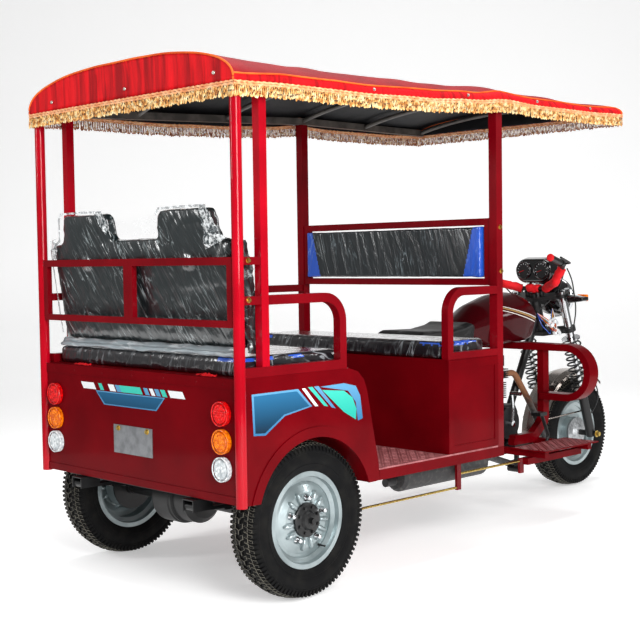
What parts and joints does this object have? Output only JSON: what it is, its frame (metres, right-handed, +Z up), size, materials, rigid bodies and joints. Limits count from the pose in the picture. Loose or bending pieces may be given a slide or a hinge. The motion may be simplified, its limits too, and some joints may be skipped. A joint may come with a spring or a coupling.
{
  "type": "passenger motor tricycle",
  "caption": "Passenger motor tricycle with facing bench seats under a fringed cloth canopy and a motorcycle front end on a coil-sprung fork.",
  "frame": {"origin": "on the ground, under the middle of the vehicle's length and width", "axes": "+X forward, +Y to the left, +Z up"},
  "size_m": [3.0085, 1.2, 1.8848],
  "materials": {
    "tyre_rubber": "matte",
    "wheel_silver": "satin",
    "frame_black": "satin",
    "body_red": "gloss",
    "post_red": "gloss",
    "floor_red": "satin",
    "canopy_cloth": "matte",
    "fringe_cord": "matte",
    "seat_cover": "gloss",
    "lens_red": "gloss",
    "lens_amber": "gloss",
    "lens_white": "gloss",
    "plate_grey": "satin",
    "chrome": "polished",
    "engine_metal": "cast",
    "black_plastic": "gloss",
    "grip_rubber": "matte",
    "zinc_steel": "plated"
  },
  "bodies": {
    "chassis": {"rear_axle": "frame_black", "leaf_springs": "frame_black", "chassis_frame": "frame_black", "cross_tubes": "frame_black", "floor_rails": "frame_black", "drive_shaft": "frame_black", "foot_plates": "frame_black", "exhaust": "frame_black", "fender_right": "body_red", "fender_left": "body_red", "tail_panel": "body_red", "rear_deck": "body_red", "front_seat_box": "body_red", "fuel_tank": "body_red", "rear_posts": "post_red", "front_posts": "post_red", "rear_guard": "post_red", "side_rails": "post_red", "front_armrests": "post_red", "front_backrest_frame": "post_red", "roof_frame": "post_red", "leg_guards": "post_red", "floor_deck": "floor_red", "canopy_cover": "canopy_cloth", "canopy_fringe": "fringe_cord", "front_backrest_pad": "seat_cover", "rear_backrest": "seat_cover", "rear_seat_cushion": "seat_cover", "front_seat_cushion": "seat_cover", "driver_saddle": "seat_cover", "tail_lamps_red": "lens_red", "tail_lamps_amber": "lens_amber", "tail_lamps_white": "lens_white", "number_plate": "plate_grey", "kick_start": "chrome", "engine": "engine_metal", "brake_pedal": "zinc_steel", "brake_linkage": "zinc_steel"},
    "steering": {"steering_yoke": "frame_black", "fork_legs": "chrome", "fork_springs": "frame_black", "handlebar": "chrome", "handlebar_grips": "grip_rubber", "instrument_console": "black_plastic", "headlight": "chrome", "indicators": "black_plastic", "front_mudguard": "chrome", "hand_controls": "black_plastic"},
    "front_wheel": {"front_tyre": "tyre_rubber", "front_rim": "wheel_silver"},
    "rear_wheel_right": {"rear_tyre_right": "tyre_rubber", "rear_rim_right": "wheel_silver"},
    "rear_wheel_left": {"rear_tyre_left": "tyre_rubber", "rear_rim_left": "wheel_silver"}
  },
  "joints": [
    {"name": "steering_turn", "type": "hinge", "parent": "chassis", "child": "steering", "pos_m": [0.97242, 0, 0.872], "axis": [-0.3322, 0, 0.9432], "range_deg": [-38, 38]},
    {"name": "front_wheel_spin", "type": "hinge", "parent": "steering", "child": "front_wheel", "pos_m": [1.23125, 0, 0.2725], "axis": [0, 1, 0], "continuous": true},
    {"name": "rear_wheel_right_spin", "type": "hinge", "parent": "chassis", "child": "rear_wheel_right", "pos_m": [-1.15875, -0.503, 0.2725], "axis": [0, 1, 0], "continuous": true},
    {"name": "rear_wheel_left_spin", "type": "hinge", "parent": "chassis", "child": "rear_wheel_left", "pos_m": [-1.15875, 0.503, 0.2725], "axis": [0, 1, 0], "continuous": true}
  ]
}
